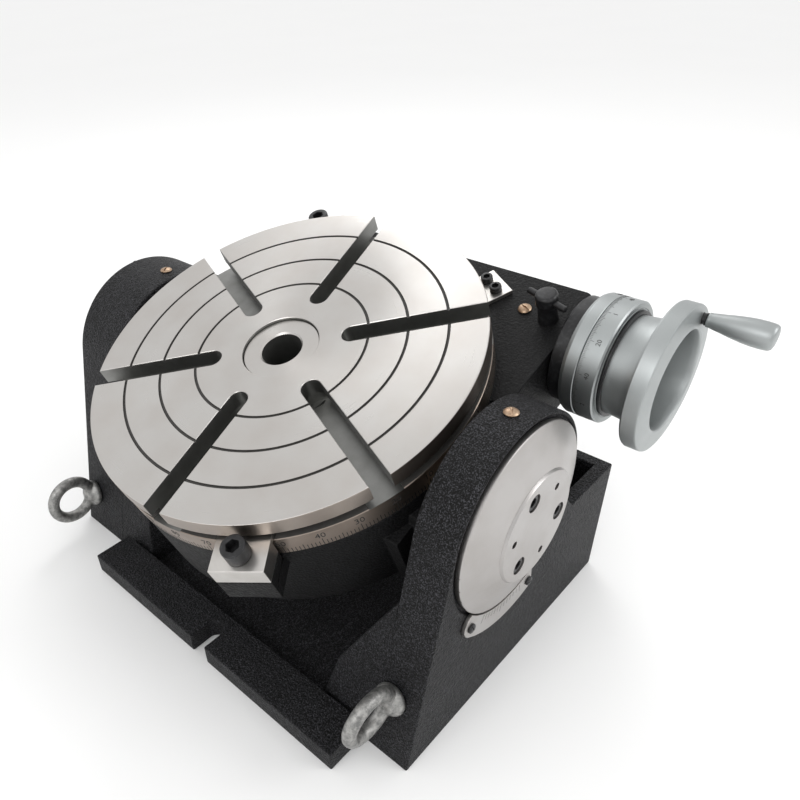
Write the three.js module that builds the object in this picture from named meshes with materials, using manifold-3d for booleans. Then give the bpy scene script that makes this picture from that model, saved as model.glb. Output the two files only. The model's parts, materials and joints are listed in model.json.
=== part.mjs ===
// Tilting rotary table, 320 mm, for a milling machine.
// Millimetres, +Z up.  The origin is on the ground below the tilt axis, at the
// table's centre plane.  +X runs along the tilt axis toward the tilt dial and
// the handwheel, +Y is the rear.
//
// The base (two cheeks, a trough and a rear box) carries a cradle on two
// trunnions.  The cradle carries the round table, its worm wheel, and a worm
// turned by the handwheel.  The cradle stands TILT degrees from level.

import * as THREE from 'three';
import { mergeVertices } from 'three/addons/utils/BufferGeometryUtils.js';
import Module from 'manifold-3d';

const wasm = await Module();
wasm.setup();

// ---------------------------------------------------------------- dimensions
const TILT = 20.3;            // cradle angle from level, degrees
const AXIS_Z = 171;           // tilt axis above the ground
const GAP = 0.3;              // running or seating gap between two pieces

// Table: heights above the tilt axis when level, and radii.
const TABLE_R = 160, TABLE_TOP = 83.3, LIP_Z = 69.3, GROOVE_Z = 61, BAND_Z = 42.7, TABLE_FOOT = 31.3;
const GROOVE_R = 151, BAND_R = 159.5, HUB_R = 108;
const SLOT_W = 16, SLOT_T_W = 27, SLOT_T_Z = 69.5, SLOT_FLOOR = 60.4, SLOT_IN = 49, SLOT_A0 = -22;
const RINGS = [70.4, 100.6, 130.8];                 // radii of the turned ring grooves
const SLEEVE_R = 26, SLEEVE_HEAD_R = 31, SLEEVE_SEAT = 75, SLEEVE_FOOT = -26.6;

// Base: cheeks, walls, and the hold-down flanges with their slots.
const CHEEK_IN = 169.7, CHEEK_R_OUT = 203.8, CHEEK_L_OUT = 233, ARCH_R = 80.5, CHEEK_Y = 92;
const FRONT_Y = -121.7, REAR_Y = 163.6, WALL_Z = 121.4, WALL_T = 12, WALL_Y = 60, FLOOR_T = 3.4;
const FLANGE_X0 = -153.7, FLANGE_X1 = 161.1, FLANGE_Y = -157.8, FLANGE_T = 20.2, REAR_FLANGE_Y = 199.6;
const SLOT_U_X = 4, SLOT_U_W = 18, SLOT_U_D = 27;
const FOOT = [[117, 0], [118, 20], [126, 56], [153, 106]];
const EYE_R = 19.9, EYE_WIRE = 5.6, EYE_OUT = 27.6, EYE_SHANK_R = 7.9;

// Cradle: its drum, the extension that holds the worm, and the trunnions.
const DRUM_R = 159, DRUM_Z0 = -31, DRUM_Z1 = 42.4, CAVITY_R = 133, CAVITY_Z = -6, CORE_R = 104;
const EXT_TOP = 40, EXT_Y = 182, EXT_X = 163.3, BLOCK_X0 = 120, BLOCK_X1 = 154;
const WORM_Y = 147, WORM_Z = 14.5, DIAL_R = 48, RIM_R = 56.5;
const ECCENTRIC_R = 23, WORM_SHAFT_R = 14, HANDLE_A = 37, HANDLE_R = 47.5;
const WHEEL_TEETH = 90, WHEEL_TIP = 128, WHEEL_ROOT = 124;
const CLAMP_A = -58, CLAMP_R = 171.5, CLAMP_W = 20, CLAMP_OUT = 184, LUG_IN = 161, LUG_Z = 50;
const CLAMP_TOP = 65.6, CLAMP_SCREW_R = 6;
const JOURNAL_R = 38, SPIGOT_R = 25, SPIGOT_X = 138, BUSH_R = 45;
const LID_R = 116, LID_T = 3.7, LID_SCREW_R = 110;
const PLATE_A = 61.5, PLATE_SCREW_R = 178, PLATE_SCREW_W = 7.3, PLATE_TOP = 44;
const OILER_R = 4, OILER_AT = [122, 146.3], LEVER_AT = [144, 144], LEVER_A = -13.7, LEVER_Z = 60;

// Tilting gear in the left cheek, and the tilt dial on the right one.
const TILT_GEAR_R = 61.5, TILT_WORM_R = 11, TILT_X = -210;
const TILT_WORM_Z = AXIS_Z - TILT_GEAR_R - TILT_WORM_R - 0.6;
const DIAL_FOOT = 201.7, DIAL_HUB = 218.5, DIAL_SCREW_R = 30, DIAL_SEAT = 209.6;
const VERNIER_SCREW_R = 85.5, COVER_SCREW_R = 73;

// Angles of screws round their own circles, degrees.
const THREE_SCREWS = [90, 210, 330], PIN_HOLES = [30, 150, 270], LID_SCREWS = [45, 135, 225, 315];
const VERNIER_SCREWS = [230, 287];

const rad = (d) => d * Math.PI / 180;
const seg = (n) => Math.max(10, 2 * Math.round(n * 0.2));        // facets of a round piece
// A hole whose flats clear a shaft of radius r.
const bore = (r, n) => (r + GAP) / Math.cos(Math.PI / seg(n));
const spot = (r, a) => [r * Math.cos(rad(a)), r * Math.sin(rad(a))];   // a point on a circle

// ------------------------------------------------------------------- helpers
// A closed three.js geometry as a solid.
function solid(geometry) {
  let g = geometry.clone();
  for (const k of Object.keys(g.attributes)) if (k !== 'position') g.deleteAttribute(k);
  g = mergeVertices(g, 1e-4);
  const p = g.attributes.position.array, ix = g.index.array, tri = [];
  let vol = 0;
  for (let i = 0; i < ix.length; i += 3) {
    const [a, b, c] = [ix[i], ix[i + 1], ix[i + 2]];
    if (a === b || b === c || a === c) continue;
    tri.push(a, b, c);
    const A = a * 3, B = b * 3, C = c * 3;
    vol += p[A] * (p[B + 1] * p[C + 2] - p[B + 2] * p[C + 1])
         - p[A + 1] * (p[B] * p[C + 2] - p[B + 2] * p[C])
         + p[A + 2] * (p[B] * p[C + 1] - p[B + 1] * p[C]);
  }
  if (vol < 0) {
    for (let i = 0; i < tri.length; i += 3) [tri[i + 1], tri[i + 2]] = [tri[i + 2], tri[i + 1]];
  }
  return new wasm.Manifold(new wasm.Mesh({
    numProp: 3, vertProperties: new Float32Array(p), triVerts: new Uint32Array(tri),
  }));
}
const at = (g, x, y, z) => g.applyMatrix4(new THREE.Matrix4().makeTranslation(x, y, z));
const box = (x0, x1, y0, y1, z0, z1) => {
  const g = new THREE.BoxGeometry(x1 - x0, y1 - y0, z1 - z0);
  return solid(at(g, (x0 + x1) / 2, (y0 + y1) / 2, (z0 + z1) / 2));
};
const cylZ = (r, z0, z1, x = 0, y = 0, n = 32, r1 = r) =>
  solid(at(new THREE.CylinderGeometry(r1, r, z1 - z0, seg(n)).rotateX(Math.PI / 2), x, y, (z0 + z1) / 2));
const cylX = (r, x0, x1, y = 0, z = 0, n = 32, r1 = r) =>
  solid(at(new THREE.CylinderGeometry(r1, r, x1 - x0, seg(n)).rotateZ(-Math.PI / 2), (x0 + x1) / 2, y, z));
const cylY = (r, y0, y1, x = 0, z = 0, n = 32, r1 = r) =>
  solid(at(new THREE.CylinderGeometry(r1, r, y1 - y0, seg(n)), x, (y0 + y1) / 2, z));
// A profile of [radius, height] points turned about Z, or about X.
const turn = (pts, n = 48) => {
  const outline = [...pts, pts[0]].map(([r, h]) => new THREE.Vector2(r, h));
  return new THREE.LatheGeometry(outline, seg(n)).rotateX(Math.PI / 2);
};
const turnZ = (pts, x = 0, y = 0, n = 48) => solid(at(turn(pts, n), x, y, 0));
const turnX = (pts, y = 0, z = 0, n = 48) => solid(at(turn(pts, n).rotateY(Math.PI / 2), 0, y, z));
const flat = (pts, depth) => new THREE.ExtrudeGeometry(
  new THREE.Shape(pts.map(([u, v]) => new THREE.Vector2(u, v))), { depth, bevelEnabled: false });
// Outlines extruded along X (points y, z), along Y (points x, z) and along Z (points x, y).
const yzToX = new THREE.Matrix4().set(0, 0, 1, 0, 1, 0, 0, 0, 0, 1, 0, 0, 0, 0, 0, 1);
const alongX = (pts, x0, x1) => solid(at(flat(pts, x1 - x0).applyMatrix4(yzToX), x0, 0, 0));
const alongY = (pts, y0, y1) => solid(at(flat(pts, y1 - y0).rotateX(Math.PI / 2).scale(1, -1, 1), 0, y0, 0));
const alongZ = (pts, z0, z1) => solid(at(flat(pts, z1 - z0), 0, 0, z0));
function arc(cx, cy, r, a0, a1, m) {
  const n = m > 7 ? Math.round(m * 0.6) : m;
  return Array.from({ length: n + 1 }, (_, i) => {
    const a = rad(a0 + (a1 - a0) * i / n);
    return [cx + r * Math.cos(a), cy + r * Math.sin(a)];
  });
}
const turned = (s, ax, ay, az) => s.rotate([ax, ay, az]);
const placed = (s, x, y, z) => s.translate([x, y, z]);
const hexagon = (r) => arc(0, 0, r, 0, 300, 5);
// A box set radially: r0..r1 outward, half width w, at angle a.
const radial = (a, r0, r1, w, z0, z1) => turned(box(r0, r1, -w, w, z0, z1), 0, 0, a);

function geometryOf(s) {
  const m = s.getMesh(), g = new THREE.BufferGeometry();
  const np = m.numProp, v = m.vertProperties, pos = new Float32Array(v.length / np * 3);
  for (let i = 0; i < pos.length; i++) pos[i] = v[Math.floor(i / 3) * np + i % 3];
  g.setAttribute('position', new THREE.BufferAttribute(pos, 3));
  g.setIndex(new THREE.BufferAttribute(new Uint32Array(m.triVerts), 1));
  g.computeVertexNormals();
  return g;
}

// ----------------------------------------------------------------- materials
const look = {
  black_paint: { color: 0x17181a, roughness: 0.62, metalness: 0.1 },
  ground_steel: { color: 0xc9c7c2, roughness: 0.28, metalness: 1 },
  machined_steel: { color: 0x8a8a88, roughness: 0.4, metalness: 1 },
  satin_aluminium: { color: 0xb4b8b8, roughness: 0.38, metalness: 1 },
  zinc_steel: { color: 0x8b8a84, roughness: 0.5, metalness: 1 },
  black_oxide: { color: 0x1b1b1c, roughness: 0.45, metalness: 0.8 },
  brass: { color: 0xb98a52, roughness: 0.35, metalness: 1 },
  bronze: { color: 0x9a7444, roughness: 0.45, metalness: 1 },
};

const root = new THREE.Group();
const cradle = new THREE.Group();
cradle.position.set(0, 0, AXIS_Z);
cradle.rotation.x = rad(TILT);
root.add(cradle);

function add(parent, name, s, kind) {
  const mesh = new THREE.Mesh(geometryOf(s), new THREE.MeshStandardMaterial(look[kind]));
  mesh.name = name;
  parent.add(mesh);
}

// A socket-head screw standing on z = 0, its shank below.
function capScrew(headR, headH, shankR, shankL, n = 20) {
  const hex = alongZ(hexagon(headR * 0.6), headH * 0.45, headH + 1);
  return turnZ([[0, -shankL], [shankR, -shankL], [shankR, 0], [headR - 0.4, 0], [headR, 0.4],
    [headR, headH - 0.9], [headR - 0.9, headH], [0, headH]], 0, 0, n).subtract(hex);
}

// A small low-headed screw on z = 0; socket is the radius of its hexagon.
function lowScrew(headR, headH, flatH, topR, shankR, shankL, n, socket, floor) {
  return turnZ([[0, -shankL], [shankR, -shankL], [shankR, 0], [headR, 0], [headR, flatH], [topR, headH],
    [0, headH]], 0, 0, n).subtract(alongZ(hexagon(socket), floor, 4));
}

// ---------------------------------------------------------------------- base
// The front edge of a cheek rises from the ground and touches the round head.
const frontAngle = Math.atan2(AXIS_Z, -FRONT_Y) + Math.asin(ARCH_R / Math.hypot(FRONT_Y, AXIS_Z));
const frontSlope = Math.PI / 2 - frontAngle;
const frontAt = (z) => FRONT_Y + Math.tan(frontSlope) * z;
// Cheek outline in the Y-Z plane: straight foot, then a round head about the tilt axis.
const cheek = [[CHEEK_Y, 0], [CHEEK_Y, WALL_Z], [ARCH_R, WALL_Z + 14],
  ...arc(0, AXIS_Z, ARCH_R, 0, 90 + frontAngle * 180 / Math.PI, 30), [FRONT_Y, 0]];

// The foot inside each cheek, cut back from the swing of the table and of the trunnion block.
function foot(side) {
  const o = [[CHEEK_IN + 2, 0], ...FOOT, [CHEEK_IN, 135], [CHEEK_IN + 2, 135]];
  const ahead = [[FRONT_Y - 10, -1], [FRONT_Y, 0], [frontAt(140), 140], [FRONT_Y - 10, 140]];
  return alongY(o.map(([x, z]) => [side * x, z]), FRONT_Y, CHEEK_Y)
    .subtract(alongX(ahead, -240, 240))
    .subtract(cylX(84, -CHEEK_IN, CHEEK_IN, 0, AXIS_Z, 40));
}

let base = alongX(cheek, CHEEK_IN, CHEEK_R_OUT)
  .add(alongX(cheek, -CHEEK_L_OUT, -CHEEK_IN))
  .add(foot(1))
  .add(foot(-1))
  .add(box(-CHEEK_L_OUT, CHEEK_R_OUT, REAR_Y - WALL_T, REAR_Y, 0, WALL_Z))
  .add(box(CHEEK_R_OUT - WALL_T, CHEEK_R_OUT, WALL_Y, REAR_Y, 0, WALL_Z))
  .add(box(-CHEEK_L_OUT, -CHEEK_L_OUT + WALL_T, WALL_Y, REAR_Y, 0, WALL_Z))
  .add(box(-CHEEK_L_OUT + 1, CHEEK_R_OUT - 1, FRONT_Y + 1, REAR_Y - 1, 0, FLOOR_T))
  .add(box(FLANGE_X0, FLANGE_X1, FLANGE_Y, FRONT_Y + 1, 0, FLANGE_T))
  .add(box(FLANGE_X0, FLANGE_X1, REAR_Y - 1, REAR_FLANGE_Y, 0, FLANGE_T))
  // bearing boss of the tilting worm, inside the rear wall
  .add(cylY(17, REAR_Y - WALL_T - 10, REAR_Y - 1, TILT_X, TILT_WORM_Z, 24));
// hold-down slots, front and rear
function uSlot(y0, dir) {
  const half = SLOT_U_W / 2;
  const end = arc(SLOT_U_X, y0 + dir * (SLOT_U_D - half), half, 0, dir * 180, 12);
  const mouth = [[SLOT_U_X - half, y0 - dir * 2], [SLOT_U_X + half, y0 - dir * 2]];
  return alongZ([...mouth, ...end], -1, FLANGE_T + 1);
}
base = base.subtract(uSlot(FLANGE_Y, 1))
  .subtract(uSlot(REAR_FLANGE_Y, -1))
  // recess round the tilt dial and the trunnion bores
  .subtract(cylX(77.5, CHEEK_R_OUT - 2.6, CHEEK_R_OUT + 5, 0, AXIS_Z, 64))
  .subtract(cylX(bore(BUSH_R, 40), CHEEK_IN - 1, CHEEK_R_OUT + 1, 0, AXIS_Z, 40))
  .subtract(cylX(bore(BUSH_R, 40), -200, -CHEEK_IN + 1, 0, AXIS_Z, 40))
  // gear chamber of the left cheek, and the passage of the tilting worm
  .subtract(cylX(68, -CHEEK_L_OUT - 1, -197.5, 0, AXIS_Z, 48))
  .subtract(cylY(TILT_WORM_R + 1.2, -48, CHEEK_Y + 1, TILT_X, TILT_WORM_Z, 20))
  .subtract(cylY(8.4, 80, REAR_Y + 2, TILT_X, TILT_WORM_Z, 20));

// Eyebolts stand square to the sloping front faces: name, x, z, turn of the ring.
const eyes = [['eyebolt_right', 180, 57, 6], ['eyebolt_left', -217.5, 38, 0]];
// A shape set at distance y along an eyebolt's own axis; local -Y leaves the cheek.
function onEye(geometry, x, z, y) {
  const m = new THREE.Matrix4().makeTranslation(x, frontAt(z), z)
    .multiply(new THREE.Matrix4().makeRotationX(-frontSlope))
    .multiply(new THREE.Matrix4().makeTranslation(0, y, 0));
  return solid(geometry.clone().applyMatrix4(m));
}
for (const [, x, z] of eyes) {
  base = base.subtract(onEye(new THREE.CylinderGeometry(8.6, 8.6, 30, 12), x, z, 9));
}
// oil holes, vernier plate screw holes, cover screw holes
const oilX = { right: 187, left: -187 };
for (const x of Object.values(oilX)) {
  base = base.subtract(cylZ(bore(OILER_R, 16), AXIS_Z + ARCH_R - 3, AXIS_Z + ARCH_R + 2, x, 1, 16));
}
for (const a of VERNIER_SCREWS) {
  const [y, z] = spot(VERNIER_SCREW_R, a);
  base = base.subtract(cylX(2.4, CHEEK_R_OUT - 12, CHEEK_R_OUT + 1, y, AXIS_Z + z, 12));
}
for (const a of THREE_SCREWS) {
  const [y, z] = spot(COVER_SCREW_R, a);
  base = base.subtract(cylX(3.3, -CHEEK_L_OUT - 1, -CHEEK_L_OUT + 12, y, AXIS_Z + z, 12));
}
add(root, 'base_casting', base, 'black_paint');

for (const [name, x, z, ringTurn] of eyes) {
  const ring = new THREE.TorusGeometry(EYE_R, EYE_WIRE, 8, 22).rotateY(Math.PI / 2 + rad(ringTurn));
  const bolt = onEye(new THREE.CylinderGeometry(EYE_SHANK_R, EYE_SHANK_R, 23, 12), x, z, 10.4)
    .add(onEye(new THREE.CylinderGeometry(13.2, 10.5, 7, 16), x, z, -3.9))
    .add(onEye(new THREE.CylinderGeometry(8, 7, 10, 10), x, z, -7.5))
    .add(onEye(ring, x, z, -EYE_OUT));
  add(root, name, bolt, 'zinc_steel');
}

// Brass oilers: a stem in the casting and a low dome.
const oiler = () => turnZ([[0, -2], [OILER_R, -2], [OILER_R, GAP], [5.4, GAP], [5.4, 1.2], [3.8, 2.6],
  [1.4, 3], [0, 3]], 0, 0, 20).subtract(cylZ(1.1, 1.6, 4, 0, 0, 8));
add(root, 'oiler_cheek_right', placed(oiler(), oilX.right, 1, AXIS_Z + ARCH_R), 'brass');
add(root, 'oiler_cheek_left', placed(oiler(), oilX.left, 1, AXIS_Z + ARCH_R), 'brass');

// Crescent vernier plate of the tilt dial.
const vernierIn = arc(0, AXIS_Z, 75.6, 224, 292, 24);
const vernierOut = [...arc(0, AXIS_Z, 93.5, 289, 224, 22).slice(0, -3), ...arc(0, AXIS_Z, 90, 221, 220, 1)];
let vernier = alongX([...vernierIn, ...vernierOut], CHEEK_R_OUT + GAP, CHEEK_R_OUT + 3.2);
for (const a of VERNIER_SCREWS) {
  const [y, z] = spot(VERNIER_SCREW_R, a);
  vernier = vernier.subtract(cylX(2.5, CHEEK_R_OUT - 1, CHEEK_R_OUT + 5, y, AXIS_Z + z, 12));
}
add(root, 'tilt_vernier_plate', vernier, 'satin_aluminium');
VERNIER_SCREWS.forEach((a, i) => {
  const [y, z] = spot(VERNIER_SCREW_R, a);
  const screw = turnZ([[0, -10], [2.1, -10], [2.1, 0], [3.9, 0], [3.9, 1], [2.6, 2], [0, 2]], 0, 0, 16)
    .subtract(box(-0.5, 0.5, -5, 5, 1.2, 3));
  const set = placed(turned(screw, 0, 90, 0), CHEEK_R_OUT + 3.2 + GAP, y, AXIS_Z + z);
  add(root, `vernier_plate_screw_${i + 1}`, set, 'black_oxide');
});

// Bronze bushes of the trunnions.
function bush(x0, x1) {
  const inner = bore(JOURNAL_R, 40);
  return turnX([[inner, x0], [BUSH_R, x0], [BUSH_R, x1], [inner, x1]], 0, AXIS_Z, 40);
}
add(root, 'trunnion_bush_right', bush(CHEEK_IN, CHEEK_R_OUT - 3), 'bronze');
add(root, 'trunnion_bush_left', bush(-197, -CHEEK_IN), 'bronze');

// Cover of the gear chamber, on the left cheek.
let cover = cylX(77, -CHEEK_L_OUT - 4, -CHEEK_L_OUT - GAP, 0, AXIS_Z, 48);
for (const a of THREE_SCREWS) {
  const [y, z] = spot(COVER_SCREW_R, a);
  cover = cover.subtract(cylX(3.4, -240, -230, y, AXIS_Z + z, 12));
}
add(root, 'tilt_gear_cover', cover, 'black_paint');
THREE_SCREWS.forEach((a, i) => {
  const [y, z] = spot(COVER_SCREW_R, a);
  const screw = turned(lowScrew(5, 3, 2, 3.4, 2.9, 14, 16, 2.2, 1.2), 0, -90, 0);
  const set = placed(screw, -CHEEK_L_OUT - 4 - GAP, y, AXIS_Z + z);
  add(root, `gear_cover_screw_${i + 1}`, set, 'black_oxide');
});

// Tilting worm: worm, long shaft and a square end behind the rear wall.
function threaded(r0, depth, pitch, length, radial, perTurn) {
  const rows = Math.round(length / pitch * perTurn);
  const g = new THREE.CylinderGeometry(r0, r0, length, radial, rows);
  const p = g.attributes.position;
  for (let i = 0; i < p.count; i++) {
    const x = p.getX(i), y = p.getY(i), z = p.getZ(i), r = Math.hypot(x, z);
    if (r < r0 * 0.5) continue;
    const edge = Math.min(1, (length / 2 - Math.abs(y)) / pitch);
    let t = y / pitch - Math.atan2(z, x) / (2 * Math.PI);
    t -= Math.floor(t);
    const k = (r0 - depth * (1 - edge * Math.abs(2 * t - 1))) / r;
    p.setXYZ(i, x * k, y, z * k);
  }
  return g;
}
const square = 5.6;                       // half width of the square end
const tiltWorm = solid(at(threaded(TILT_WORM_R, 2.6, 6.4, 52, 10, 3), TILT_X, 0, TILT_WORM_Z))
  .add(cylY(7.9, -44, REAR_Y + 8, TILT_X, TILT_WORM_Z, 20))
  .add(box(TILT_X - square, TILT_X + square, REAR_Y + 6, REAR_Y + 27,
    TILT_WORM_Z - square, TILT_WORM_Z + square));
add(root, 'tilt_worm_shaft', tiltWorm, 'machined_steel');

// -------------------------------------------------------------------- cradle
// Everything below is in the cradle's own frame, its origin on the tilt axis.
function trunnionBlock(side) {
  const web = [[-71, 22], [71, 22], [71, -35], [42, -66], [-42, -66], [-71, -35]];
  const boss = [...arc(0, 0, 58, 180, 360, 20), [50, 30], [-50, 30]];
  return side > 0
    ? alongX(web, BLOCK_X0, BLOCK_X1).add(alongX(boss, BLOCK_X0, EXT_X))
    : alongX(web, -BLOCK_X1, -BLOCK_X0).add(alongX(boss, -EXT_X, -BLOCK_X0));
}

const drum = [[0, DRUM_Z0], [DRUM_R - 3, DRUM_Z0], [DRUM_R, DRUM_Z0 + 3], [DRUM_R, DRUM_Z1], [0, DRUM_Z1]];
const extension = [[EXT_X, 60], [EXT_X, EXT_Y - 8], [EXT_X - 2.3, EXT_Y - 2.3], [EXT_X - 8, EXT_Y],
  [-62, EXT_Y], [-112, 112], [0, 0]];
let body = turnZ(drum, 0, 0, 72)
  .add(alongZ(extension, DRUM_Z0, EXT_TOP))
  .add(trunnionBlock(1))
  .add(trunnionBlock(-1));
for (const a of [CLAMP_A, CLAMP_A + 180]) {
  body = body.add(radial(a, 140, CLAMP_OUT, CLAMP_W, 28, DRUM_Z1))
    .add(radial(a, LUG_IN, CLAMP_OUT, CLAMP_W, DRUM_Z1 - 1, LUG_Z));
}
body = body
  // worm wheel chamber and cored underside
  .subtract(turnZ([[0, CAVITY_Z], [CAVITY_R, CAVITY_Z], [CAVITY_R, 60], [0, 60]], 0, 0, 72))
  .subtract(cylZ(CORE_R, DRUM_Z0 - 1, -14, 0, 0, 64))
  // spindle bearing seat
  .add(turnZ([[30, -20], [50, -20], [50, -3], [30, -3]], 0, 0, 40))
  .subtract(cylZ(bore(34, 40), -25, 0, 0, 0, 40))
  // worm chamber and eccentric sleeve seat
  .subtract(cylX(21, -58, 100, WORM_Y, WORM_Z, 50))
  .subtract(cylX(bore(ECCENTRIC_R, 56), 98, EXT_X + 1, WORM_Y, WORM_Z, 56))
  // trunnion seats
  .subtract(cylX(bore(SPIGOT_R, 32), SPIGOT_X - 1, EXT_X + 1, 0, 0, 32))
  .subtract(cylX(bore(SPIGOT_R, 32), -EXT_X - 1, 1 - SPIGOT_X, 0, 0, 32));
for (const a of [CLAMP_A, CLAMP_A + 180]) {
  body = body.subtract(turned(cylZ(bore(CLAMP_SCREW_R, 16), 30, LUG_Z + 2, CLAMP_R, 0, 16), 0, 0, a));
}
for (const t of [-PLATE_SCREW_W, PLATE_SCREW_W]) {
  body = body.subtract(turned(cylZ(2.9, 36.8, 45, PLATE_SCREW_R, t, 12), 0, 0, PLATE_A));
}
body = body.subtract(cylZ(bore(OILER_R, 16), 37.7, 45, ...OILER_AT, 16))
  .subtract(cylZ(bore(5, 16), 37.8, 45, ...LEVER_AT, 16));
for (const a of LID_SCREWS) {
  body = body.subtract(cylZ(2.9, DRUM_Z0 - 1, DRUM_Z0 + 14, ...spot(LID_SCREW_R, a), 12));
}
const lidSeat = bore(LID_R, 72);
body = body.subtract(turnZ([[0, DRUM_Z0 - 1], [lidSeat, DRUM_Z0 - 1], [lidSeat, DRUM_Z0 + 4],
  [0, DRUM_Z0 + 4]], 0, 0, 72));
add(cradle, 'cradle_casting', body, 'black_paint');

// Underside lid with a hole for the through bore.
let lid = turnZ([[29, DRUM_Z0], [LID_R, DRUM_Z0], [LID_R, DRUM_Z0 + LID_T],
  [29, DRUM_Z0 + LID_T]], 0, 0, 72);
for (const a of LID_SCREWS) {
  lid = lid.subtract(cylZ(3, DRUM_Z0 - 1, DRUM_Z0 + 5, ...spot(LID_SCREW_R, a), 12));
}
add(cradle, 'cradle_underside_lid', lid, 'black_paint');
LID_SCREWS.forEach((a, i) => {
  const screw = turned(lowScrew(4.6, 2.6, 1.5, 3, 2.6, 12, 14, 1.9, 1), 180, 0, 0);
  add(cradle, `lid_screw_${i + 1}`, placed(screw, ...spot(LID_SCREW_R, a), DRUM_Z0 - GAP), 'black_oxide');
});

// Trunnion shafts: a spigot in the cradle and a journal in the base.
let rightShaft = turnX([[0, SPIGOT_X], [SPIGOT_R, SPIGOT_X], [SPIGOT_R, EXT_X + GAP],
  [JOURNAL_R, EXT_X + GAP], [JOURNAL_R, 201.4], [0, 201.4]], 0, 0, 40);
for (const a of THREE_SCREWS) {
  rightShaft = rightShaft.subtract(cylX(4.4, 184, 203, ...spot(DIAL_SCREW_R, a), 12));
}
add(cradle, 'trunnion_shaft_right', rightShaft, 'machined_steel');
const leftShaft = [[0, -228], [27, -228], [27, -199], [JOURNAL_R, -199], [JOURNAL_R, -EXT_X - GAP],
  [SPIGOT_R, -EXT_X - GAP], [SPIGOT_R, -SPIGOT_X], [0, -SPIGOT_X]];
add(cradle, 'trunnion_shaft_left', turnX(leftShaft, 0, 0, 40), 'machined_steel');

// Tilting worm wheel on the left trunnion.
function gearOutline(tip, rootR, teeth, phase = 0) {
  const pts = [];
  for (let i = 0; i < teeth; i++) {
    for (const [k, r] of [[0, rootR], [0.5, tip]]) {
      const a = 2 * Math.PI * (i + k + phase) / teeth;
      pts.push([r * Math.cos(a), r * Math.sin(a)]);
    }
  }
  return pts;
}
const tiltTeeth = gearOutline(TILT_GEAR_R, TILT_GEAR_R - 2.4, 60);
const tiltWheel = alongX(tiltTeeth, TILT_X - 10, TILT_X + 10)
  .subtract(cylX(bore(27, 40), TILT_X - 12, TILT_X + 12, 0, 0, 40));
add(cradle, 'tilt_worm_wheel', tiltWheel, 'bronze');

// Tilt dial: a graduated rim, a shallow cone and a raised hub, held by three screws.
let dial = turnX([[0, DIAL_FOOT], [74.7, DIAL_FOOT], [74.7, 206.4], [73.9, 207], [44.5, 216.6],
  [43, DIAL_HUB], [0, DIAL_HUB]], 0, 0, 72);
for (const a of THREE_SCREWS) {
  const [y, z] = spot(DIAL_SCREW_R, a);
  dial = dial.subtract(cylX(4.4, 200, 220, y, z, 12)).subtract(cylX(bore(6.5, 20), DIAL_SEAT, 220, y, z, 20));
}
for (const a of PIN_HOLES) {
  dial = dial.subtract(cylX(2.8, 206, 220, ...spot(31, a), 12));
}
add(cradle, 'tilt_dial', dial, 'satin_aluminium');
THREE_SCREWS.forEach((a, i) => {
  const screw = turned(capScrew(6.5, 7.6, 4, 22), 0, 90, 0);
  const set = placed(screw, DIAL_SEAT + GAP, ...spot(DIAL_SCREW_R, a));
  add(cradle, `tilt_dial_screw_${i + 1}`, set, 'black_oxide');
});

// Index plate beside the table's graduated band.
let plate = radial(PLATE_A, 162.3, 188.5, 16, EXT_TOP + GAP, PLATE_TOP);
for (const t of [-PLATE_SCREW_W, PLATE_SCREW_W]) {
  plate = plate.subtract(turned(cylZ(3, 35, 50, PLATE_SCREW_R, t, 12), 0, 0, PLATE_A));
}
add(cradle, 'index_plate', plate, 'machined_steel');
[-PLATE_SCREW_W, PLATE_SCREW_W].forEach((t, i) => {
  const screw = placed(capScrew(4.9, 4.6, 2.6, 6.4, 16), PLATE_SCREW_R, t, PLATE_TOP + GAP);
  add(cradle, `index_plate_screw_${i + 1}`, turned(screw, 0, 0, PLATE_A), 'black_oxide');
});

add(cradle, 'oiler_cradle', placed(oiler(), ...OILER_AT, EXT_TOP), 'brass');

// Table clamps: a block whose nose enters the groove of the table's rim, and its screw.
for (const [which, a] of [['front', CLAMP_A], ['rear', CLAMP_A + 180]]) {
  const block = radial(a, LUG_IN, CLAMP_OUT, CLAMP_W, LUG_Z + GAP, CLAMP_TOP)
    .add(radial(a, 153.5, 170, CLAMP_W, CLAMP_TOP - 4, CLAMP_TOP))
    .subtract(turned(cylZ(bore(CLAMP_SCREW_R, 16), 45, 70, CLAMP_R, 0, 16), 0, 0, a));
  add(cradle, `clamp_block_${which}`, block, 'machined_steel');
  const screw = placed(capScrew(9, 12, CLAMP_SCREW_R, 32, 28), CLAMP_R, 0, CLAMP_TOP + GAP);
  add(cradle, `clamp_screw_${which}`, turned(screw, 0, 0, a), 'black_oxide');
}

// Spindle bush in the cradle floor.
const spindleBush = [[bore(SLEEVE_R, 40), -19.7], [34, -19.7], [34, -2], [bore(SLEEVE_R, 40), -2]];
add(cradle, 'spindle_bush', turnZ(spindleBush, 0, 0, 40), 'bronze');

// Worm lock: a knurled screw over the eccentric sleeve, with a cross bar.
const lockScrew = [[0, 38.1], [5, 38.1], [5, EXT_TOP + GAP], [8, EXT_TOP + GAP], [7.4, 54], [8.6, 57],
  [8.6, 64.5], [7.4, 66.5], [0, 66.5]];
const lockBar = [[0, -18.8], [1.8, -18.8], [2.5, -18], [2.5, 18], [1.8, 18.8], [0, 18.8]];
const onLever = (s) => placed(turned(s, 0, 0, LEVER_A), ...LEVER_AT, LEVER_Z);
const crossHole = onLever(cylX(2.9, -20, 20, 0, 0, 12));
add(cradle, 'worm_lock_screw', turnZ(lockScrew, ...LEVER_AT, 24).subtract(crossHole), 'black_oxide');
add(cradle, 'worm_lock_bar', onLever(turnX(lockBar, 0, 0, 12)), 'black_oxide');

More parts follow.
